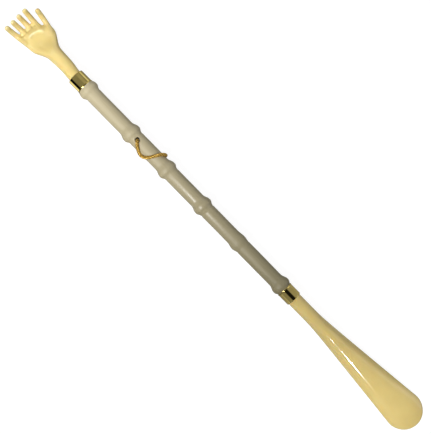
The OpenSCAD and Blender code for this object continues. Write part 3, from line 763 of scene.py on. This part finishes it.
def hand_piece():
    """The hand: palm, fingers, thumb and mounds fused to one skin and smoothed as a moulding is."""
    stations = [-TUCK_L + PALM_STEP * i for i in range(int((WEB_E + PALM_STEP) / PALM_STEP))]
    stations += [WEB_E - PALM_END_L * n for n in PALM_END_SHARES] if stations[-1] < WEB_E - PALM_STEP else [WEB_E]
    parts = [drawn_tube("moulded_hand", stations, PALM_SIDES, palm_place)]
    thumb = (WEB_E - THUMB_SET_BACK, THUMB_Y, -KNUCKLE_DROP)
    rim_z = RIM_RISE - PALM_RIM_DROP - RIM_R
    thumb_ball = (thumb[0] - THUMB_BALL_SET_BACK, THUMB_Y - THUMB_BALL_IN, rim_z)
    little_ball = (CREASE_E - LITTLE_BALL_SET_BACK, RIM_R - PALM_LITTLE_W + LITTLE_BALL_IN, rim_z - LITTLE_BALL_DROP)
    for i in range(FINGERS):
        y = i * FINGER_PITCH - LITTLE_FINGER_Y
        knuckle = (WEB_E, y, -KNUCKLE_DROP)
        pad = (CREASE_E + PAD_R / 2, y * PAD_GATHER, PAD_RISE - PALM_RIM_DROP - PAD_R)
        parts.append(finger_piece(knuckle, (i - FAN_CENTRE) * FINGER_FAN, FINGER_ROOT_L))
        parts.append(mound(pad, knuckle, PAD_R, PAD_R))
        if i:
            for reach, drop in ((WEB_REACH, KNUCKLE_DROP), (0, KNUCKLE_DROP + WEB_ROOT_DROP)):
                parts.append(mound((WEB_E + reach, y - FINGER_PITCH, -drop), (WEB_E + reach, y, -drop), WEB_R, WEB_R))
    parts.append(finger_piece(thumb, THUMB_ANGLE, THUMB_ROOT_L))
    parts.append(mound(thumb_ball, thumb, RIM_R, PAD_R))
    parts.append(mound(little_ball, (WEB_E, -LITTLE_FINGER_Y, -KNUCKLE_DROP), RIM_R, PAD_R))
    parts.append(mound((thumb[0], THUMB_Y - PAD_R, -KNUCKLE_DROP),
                       (thumb[0] + PAD_R, INDEX_EDGE - THUMB_WEB_R, -KNUCKLE_DROP), THUMB_WEB_R, THUMB_WEB_R))
    piece = joined(parts)
    finished_with(piece, "REMESH", mode="VOXEL", voxel_size=HAND_VOXEL)
    soft = piece.vertex_groups.new(name="soft")
    for v in piece.data.vertices:
        e = WRIST_X - v.co.x
        soft.add([v.index], mix(1, FINGER_SOFTNESS, ease((e - CREASE_E) / (WEB_E - CREASE_E))), "REPLACE")
    finished_with(piece, "SMOOTH", factor=SMOOTHING, iterations=PALM_SMOOTHINGS, vertex_group="soft")
    piece.vertex_groups.clear()
    for v in piece.data.vertices:
        if v.normal.z > LINE_FACING and LINES_FROM < WRIST_X - v.co.x < LINES_TO:
            v.co.z += palm_line_height(WRIST_X - v.co.x, v.co.y) * ease(v.normal.z * LINE_FACING_GAIN)
    finished_with(piece, "SMOOTH", factor=SMOOTHING, iterations=LINE_SMOOTHINGS)
    # Painted highlight: a pale share for each point, on the ridge where it faces up and at the fingertips
    painted_highlight = piece.data.attributes.new("painted_highlight", "FLOAT", "POINT")
    for v in piece.data.vertices:
        painted_highlight.data[v.index].value = painted_highlight_share(WRIST_X - v.co.x, v.co.y, v.normal.z)
    bpy.ops.object.shade_smooth()
    return piece


hand = hand_piece()

# Floor: the top of a light table, just under the lowest point of the part
bpy.ops.object.select_all(action="DESELECT")
bpy.ops.mesh.primitive_plane_add(size=TABLE_SIZE, location=(0, 0, -TABLE_DROP))
floor = bpy.context.object
floor.name = floor.data.name = "light_table"

# Backdrop: a white tent far round the table; only the camera sees the tent and the table
bpy.ops.object.select_all(action="DESELECT")
bpy.ops.mesh.primitive_uv_sphere_add(segments=TENT_SIDES, ring_count=TENT_RINGS, radius=TENT_R)
tent = bpy.context.object
tent.name = tent.data.name = "white_tent"
for part in (floor, tent):
    part.visible_diffuse = part.visible_glossy = part.visible_shadow = False

# Moulded ivory resin: polished by its mould, so it shines, faintly cloudy under the surface, and painted pale as a
# highlight along the ridge of the palm and on the fingertips
ivory, tree, shader = new_material("moulded_ivory_resin")
where = object_place(tree)
cloud = grain(tree, where, CLOUD_SIZE, COARSE_DETAIL)
# Painted highlight: the hand's pale share, read back from the mesh
painted_highlight = add_node(tree, "ShaderNodeAttribute", attribute_name="painted_highlight").outputs["Fac"]
tone = blended(tree, cloud, srgb("#dcc47d"), srgb("#e6d088"))
skin_marks = grain(tree, where, SKIN_MARK_SIZE, FINE_DETAIL)
along = add_node(tree, "ShaderNodeSeparateXYZ", {"Vector": where}).outputs["X"]
dull = ranged(tree, along, HANDLE_X, HANDLE_END_X, HAND_DULLNESS, HORN_DULLNESS)
fill(tree, shader, {
    "Base Color": blended(tree, painted_highlight, tone, srgb("#f3eab8")),
    "Roughness": worked_out(tree, "MULTIPLY_ADD", skin_marks, MARK_DULLNESS, dull),
    "Normal": bumped(tree, skin_marks, SKIN_BUMP), "IOR": RESIN_IOR,
    "Subsurface Weight": IVORY_GLOW, "Subsurface Radius": IVORY_GLOW_DEPTHS, "Subsurface Scale": 1.0})

# Moulded putty resin: satin, with faint long fibres as on cane; painted darker towards the horn as shade, and painted
# near black in the cord hole as shade
putty, tree, shader = new_material("moulded_putty_resin")
where = object_place(tree)
stretched = add_node(tree, "ShaderNodeMapping", {"Vector": where, "Scale": (FIBRE_STRETCH, 1, 1)}).outputs[0]
fibre = grain(tree, stretched, FIBRE_W, FINE_DETAIL)
along = add_node(tree, "ShaderNodeSeparateXYZ", {"Vector": where}).outputs["X"]
# Painted shade: the handle's colour darkens from the hand end to the horn end, standing in for the light that falls
# off there
painted_falloff_share = ranged(tree, along, HANDLE_X, HANDLE_END_X)
light_tone = blended(tree, painted_falloff_share, srgb("#c6ba99"), srgb("#958c6d"))
dark_tone = blended(tree, painted_falloff_share, srgb("#b6aa88"), srgb("#837b5d"))
tone = blended(tree, fibre, dark_tone, light_tone)
# Painted shade: near black inside the cord hole, where the hole lies in shade
flat_place = add_node(tree, "ShaderNodeVectorMath", {0: where, 1: (1, 1, 0)}, operation="MULTIPLY").outputs[0]
off_hole = add_node(tree, "ShaderNodeVectorMath", {0: flat_place, 1: (CORD_HOLE.x, CORD_HOLE.y, 0)},
                    operation="DISTANCE").outputs["Value"]
beyond_painted_hole_shade = ranged(tree, off_hole, CORD_HOLE_D / 2, CORD_HOLE_D / 2 + HOLE_DRAFT)
off_grip = worked_out(tree, "ABSOLUTE", worked_out(tree, "SUBTRACT", along, GRIP_X))
dull = ranged(tree, off_grip, GRIP_L / 4, GRIP_L, GRIP_DULLNESS, HANDLE_DULLNESS)
fill(tree, shader, {
    "Base Color": blended(tree, beyond_painted_hole_shade, srgb("#17120c"), tone),
    "Roughness": worked_out(tree, "MULTIPLY_ADD", fibre, FIBRE_DULLNESS, dull),
    "Normal": bumped(tree, fibre, FIBRE_BUMP), "IOR": RESIN_IOR})

# Gilt brass: thin sheet, polished nearly to a mirror
gilt, tree, shader = new_material("gilt_brass")
smear = grain(tree, object_place(tree), SMEAR_SIZE, COARSE_DETAIL)
fill(tree, shader, {
    "Base Color": blended(tree, smear, srgb("#d9bf6a"), srgb("#efdb8c")),
    "Roughness": ranged(tree, smear, 0.0, 1.0, BRASS_SHINIEST, BRASS_DULLEST), "Metallic": 1.0})

# Gilt thread: metal-wrapped yarn, painted bright on top of each strand as light and painted dark in the grooves
# between them as shade
thread, tree, shader = new_material("gilt_thread")
groove = add_node(tree, "ShaderNodeAttribute", attribute_name="groove").outputs["Fac"]
# Painted shade in the grooves and painted light on the strands' tops, from how far each point lies from the cord's
# line
lit = ranged(tree, groove, GROOVE_DARK, GROOVE_LIT)
yarn = grain(tree, object_place(tree), YARN_W, YARN_DETAIL)
fill(tree, shader, {
    "Base Color": blended(tree, lit, srgb("#2e1a02"), srgb("#e2b552")), "Normal": bumped(tree, yarn, YARN_BUMP),
    "Metallic": THREAD_METAL, "Roughness": THREAD_DULLNESS})

# White acrylic of a light table and its tent: matt, and lit from behind
table_top, tree, shader = new_material("light_table_acrylic")
fill(tree, shader, {
    "Base Color": srgb("#707070"), "Roughness": TABLE_DULLNESS, "Specular IOR Level": TABLE_SHEEN,
    "Emission Color": srgb("#ffffff"), "Emission Strength": TABLE_GLOW})

for piece, material, slot, node in (
        (hand, ivory, "ivory_plastic", "scratcher_hand"), (shoe_horn, ivory, "ivory_plastic", "shoe_horn"),
        (handle, putty, "putty_plastic", "handle"), (upper_ferrule, gilt, "gilt_metal", "upper_ferrule"),
        (lower_ferrule, gilt, "gilt_metal", "lower_ferrule"), (cord, thread, "gilt_cord", "hanging_cord"),
        (knot, thread, "gilt_cord", "cord_knot")):
    piece.data.materials.clear()
    piece.data.materials.append(material)
    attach(piece, "root")
    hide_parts(node)
for part in (floor, tent):
    part.data.materials.append(table_top)

[tuple(p) for p in cord_line]

# Room: cards of light and dark, each filling a range of directions along X, Y and Z
room = bpy.data.worlds.new("room")
bpy.context.scene.world = room
room.use_nodes = True
tree = room.node_tree
around = add_node(tree, "ShaderNodeTexCoord").outputs["Generated"]
way = add_node(tree, "ShaderNodeSeparateXYZ", {"Vector": around})


def within(part, span):
    """How far one part of a direction lies within a span, with soft ends."""
    low, high = span
    rise = ranged(tree, part, low - CARD_BLUR, low + CARD_BLUR)
    fall = ranged(tree, part, high + CARD_BLUR, high - CARD_BLUR)
    return worked_out(tree, "MULTIPLY", rise, fall)


light = 0.0
for glow, *spans in ROOM_CARDS:
    for axis, span in zip("XYZ", spans):
        glow = worked_out(tree, "MULTIPLY", glow, within(way.outputs[axis], span))
    light = worked_out(tree, "ADD", light, glow)
fill(tree, tree.nodes["Background"], {"Color": srgb("#ffffff"), "Strength": light})


def lamp(name, at, aim, size, beam, watts):
    """A flat soft lamp that points at a place."""
    data = bpy.data.lights.new(name, "AREA")
    data.shape, data.size, data.size_y, data.energy = "RECTANGLE", *size, watts
    data.spread = beam
    item = bpy.data.objects.new(name, data)
    bpy.context.scene.collection.objects.link(item)
    item.location = at
    item.rotation_euler = (Vector(aim) - Vector(at)).to_track_quat("-Z", "Y").to_euler()


# Lamps: a wide one over the hand, a wide one beside the handle, and pools of light on the palm and the horn
for settings in LAMPS:
    lamp(*settings)

bpy.context.scene.view_settings.view_transform = "Standard"
